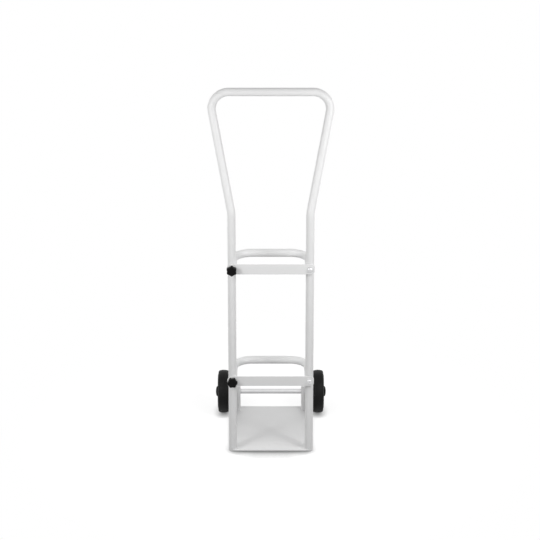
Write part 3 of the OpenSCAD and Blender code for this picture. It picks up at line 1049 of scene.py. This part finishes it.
def cradle_points(side, height):
    """Points where a cradle's side meets the back of its leg."""
    points = []
    for i in range(CRADLE_BEAD_POINTS):
        angle = math.tau * i / CRADLE_BEAD_POINTS
        x = CRADLE_X + TUBE_R * math.cos(angle)
        off = max(-TUBE_R, min(TUBE_R, x - LEG_X))
        y = math.sqrt(max(0, TUBE_R ** 2 - off ** 2)) + BEAD_STAND_OFF
        points.append(Vector((SIDES[side] * x, y, height + TUBE_R * math.sin(angle))))
    return points


def post_points(side):
    """Points round the foot of an axle post, with its corners cut a little."""
    low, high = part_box(side + "_axle_post")
    base = PLATE_T + BEAD_RISE
    corners = [Vector((low.x, low.y, base)), Vector((high.x, low.y, base)),
               Vector((high.x, high.y, base)), Vector((low.x, high.y, base))]
    points = []
    for corner, after in zip(corners, corners[1:] + corners[:1]):
        for i in range(POST_BEAD_POINTS):
            along = POST_BEAD_CORNER + (1 - 2 * POST_BEAD_CORNER) * i / (POST_BEAD_POINTS - 1)
            points.append(corner.lerp(after, along))
    return points


def make_welds():
    """Beads at the feet of the legs and posts and where the cradles meet the legs."""
    beads = []
    for side in SIDES:
        beads.append(make_bead("foot_bead", foot_points(side), False))
        for height in CRADLE_H.values():
            beads.append(make_bead("cradle_bead", cradle_points(side, height), True))
        beads.append(make_bead("post_bead", post_points(side), True))
    welds = put_together(beads, "painted_welds")
    edit(welds)
    bpy.ops.mesh.normals_make_consistent(inside=False)
    close_edit()
    finish_piece(welds, "frame", "paint", crease=60)


# Camera, lights, room and floor

PHOTO_SIDE = 540
FOCAL_PIXELS = 2310
SENSOR_W = 36
CAMERA_PITCH = math.radians(23)
CAMERA_REACH = 7.0
CAMERA_SIGHT = 100
CAMERA_AIM = Vector((-2.7 * MM, 0, 611.9 * MM))

# Place of the right light, its aim, its width and height, and the powers of the left and right lights
PAIRED_LIGHTS = {
    "front": ((0.707, -0.657, 1.2), (0, 0.05, 0.6), (0.60, 0.60), {"left": 3.1, "right": 3.1}),
    "low": ((0.841, -0.734, 0.898), (0, 0.05, 0.0), (0.20, 0.20), {"left": 1.9, "right": 1.9}),
    "side": ((1.039, -0.55, 1.3), (0, 0.05, 0.6), (0.60, 0.60), {"left": 1.9, "right": 3.8}),
}
# Lights behind, which no surface mirrors: place, aim, width and height, power, and beam in degrees
BACK_LIGHTS = {
    "upper": ((0, 1.7, 0.74), (0, 0.08, 0.74), (0.60, 0.60), 1.5, 52),
    "low": ((0, 1.5, 0.09), (0, 0.2, 0.25), (0.90, 0.12), 3.0, 180),
}
ROOM_FILL = 0.40

FLOOR_SIZE = 40
FLOOR_MIDDLE = (0, 0.14, 0)
FLOOR_NEAR = 0.35
FLOOR_FAR = 0.85
FLOOR_TONE = 0.35
FLOOR_BOUNCE = 0.40
FLOOR_LIFT = 0.80
FLOOR_ROUGHNESS = 0.9
# Shade where the trolley meets the floor: where its front zone lies, and reach and depth beside and in it
CONTACT_Y = (0.006, -0.014)
CONTACT_X = (0.125, 0.050)
CONTACT_REACH = (0.022, 0.052)
CONTACT_DEPTH = (1.0, 5.5)
CONTACT_TOWARDS = (0, 0.80, 0.60)
CONTACT_SAMPLES = 16


def make_camera():
    """Camera in front of the trolley, looking down on it as the photograph does."""
    back = Vector((0, -math.cos(CAMERA_PITCH), math.sin(CAMERA_PITCH)))
    clear_selection()
    bpy.ops.object.camera_add(location=CAMERA_AIM + back * CAMERA_REACH,
                              rotation=(math.pi / 2 - CAMERA_PITCH, 0, 0))
    camera = bpy.context.object
    camera.name = "photo_camera"
    camera.data.sensor_width = SENSOR_W
    camera.data.lens = FOCAL_PIXELS / PHOTO_SIDE * SENSOR_W
    camera.data.clip_end = CAMERA_SIGHT
    bpy.context.scene.camera = camera


def make_light(name, place, aim, size, power, beam=180, mirrored=True):
    """Soft light, wide and high as given, turned towards a point, with a beam in degrees."""
    clear_selection()
    turn = (Vector(aim) - Vector(place)).to_track_quat("-Z", "Y").to_euler()
    bpy.ops.object.light_add(type="AREA", location=place, rotation=turn)
    light = bpy.context.object
    light.name = name
    light.data.shape = "ELLIPSE"
    light.data.size, light.data.size_y = size
    light.data.energy = power
    light.data.spread = math.radians(beam)
    light.visible_glossy = mirrored


def make_lights():
    """Three pairs of lights in front, and two lights behind that no surface mirrors."""
    for name, (place, aim, size, powers) in PAIRED_LIGHTS.items():
        for side, sign in SIDES.items():
            make_light(f"{side}_{name}_light", (sign * place[0], *place[1:]), aim, size, powers[side])
    for name, (place, aim, size, power, beam) in BACK_LIGHTS.items():
        make_light(f"back_{name}_light", place, aim, size, power, beam, mirrored=False)


def seen_rays(tree):
    """1 for rays from the camera, from reflections and through clear pieces, else 0."""
    path = tree.nodes.new("ShaderNodeLightPath")
    eye = add_math(tree, "MAXIMUM", path.outputs["Is Camera Ray"], path.outputs["Is Glossy Ray"])
    return add_math(tree, "MAXIMUM", eye, path.outputs["Is Transmission Ray"])


def make_room():
    """Pale room: white to the eye and in reflections, and an even fill on everything else."""
    room = bpy.data.worlds.new("pale_room")
    bpy.context.scene.world = room
    room.use_nodes = True
    tree = room.node_tree
    fill = tree.nodes["Background"]
    white = tree.nodes.new("ShaderNodeBackground")
    for light, strength in ((fill, ROOM_FILL), (white, 1.0)):
        light.inputs["Color"].default_value = (1, 1, 1, 1)
        light.inputs["Strength"].default_value = strength
    blend = tree.nodes.new("ShaderNodeMixShader")
    tree.links.new(seen_rays(tree), blend.inputs["Fac"])
    tree.links.new(fill.outputs[0], blend.inputs[1])
    tree.links.new(white.outputs[0], blend.inputs[2])
    tree.links.new(blend.outputs[0], tree.nodes["World Output"].inputs["Surface"])


def near_and_far(tree, place, near, far):
    """A value that goes smoothly from one number near the trolley to another far from it."""
    reach = tree.nodes.new("ShaderNodeVectorMath")
    reach.operation = "DISTANCE"
    reach.inputs[1].default_value = FLOOR_MIDDLE
    tree.links.new(place, reach.inputs[0])
    return add_range(tree, reach.outputs["Value"], (FLOOR_NEAR, FLOOR_FAR), (near, far), smooth=True)


def contact_shade(tree, place):
    """Shade where the plate and wheels meet the floor, longer and deeper in front of the plate."""
    split = tree.nodes.new("ShaderNodeSeparateXYZ")
    tree.links.new(place, split.inputs[0])
    sideways = add_math(tree, "ABSOLUTE", split.outputs["X"])
    in_front = add_range(tree, split.outputs["Y"], CONTACT_Y, (0, 1))
    between_legs = add_range(tree, sideways, CONTACT_X, (0, 1))
    front_zone = add_math(tree, "MULTIPLY", in_front, between_legs)
    towards = tree.nodes.new("ShaderNodeCombineXYZ")
    for axis, share in zip("XYZ", CONTACT_TOWARDS):
        towards.inputs[axis].default_value = share
    openness = tree.nodes.new("ShaderNodeAmbientOcclusion")
    openness.samples = CONTACT_SAMPLES
    tree.links.new(towards.outputs[0], openness.inputs["Normal"])
    tree.links.new(add_range(tree, front_zone, (0, 1), CONTACT_REACH), openness.inputs["Distance"])
    depth = add_range(tree, front_zone, (0, 1), CONTACT_DEPTH)
    return add_math(tree, "POWER", openness.outputs["AO"], depth)


def make_floor():
    """Pale floor: white to the eye, with the trolley's shadow near it, and dimmer to bounced light."""
    clear_selection()
    bpy.ops.mesh.primitive_plane_add(size=FLOOR_SIZE)
    floor = name_new("studio_floor")
    finish = bpy.data.materials.new("pale_floor")
    finish.use_nodes = True
    tree = finish.node_tree
    shader = tree.nodes["Principled BSDF"]
    shader.inputs["Roughness"].default_value = FLOOR_ROUGHNESS
    shader.inputs["Specular IOR Level"].default_value = 0.0
    shader.inputs["Emission Color"].default_value = (1, 1, 1, 1)
    place = tree.nodes.new("ShaderNodeTexCoord").outputs["Object"]
    seen = seen_rays(tree)
    tone = tree.nodes.new("ShaderNodeMix")
    tone.data_type = "FLOAT"
    tone.inputs["A"].default_value = FLOOR_BOUNCE
    tree.links.new(seen, tone.inputs["Factor"])
    tree.links.new(near_and_far(tree, place, FLOOR_TONE, 0.0), tone.inputs["B"])
    tree.links.new(tone.outputs["Result"], shader.inputs["Base Color"])
    lift = near_and_far(tree, place, FLOOR_LIFT, 1.0)
    shaded = add_math(tree, "MULTIPLY", contact_shade(tree, place), lift)
    tree.links.new(add_math(tree, "MULTIPLY", seen, shaded), shader.inputs["Emission Strength"])
    floor.data.materials.append(finish)


dress_cad_nodes()
make_frame_tube()
make_cradles()
make_base_plate()
make_post_lids()
make_axle_ends()
make_wheels()
make_straps()
make_leg_bosses()
make_pivot_bolts()
make_washers()
make_studs()
make_knobs()
make_welds()
make_camera()
make_room()
make_floor()
make_lights()
bpy.context.scene.view_settings.view_transform = "Standard"
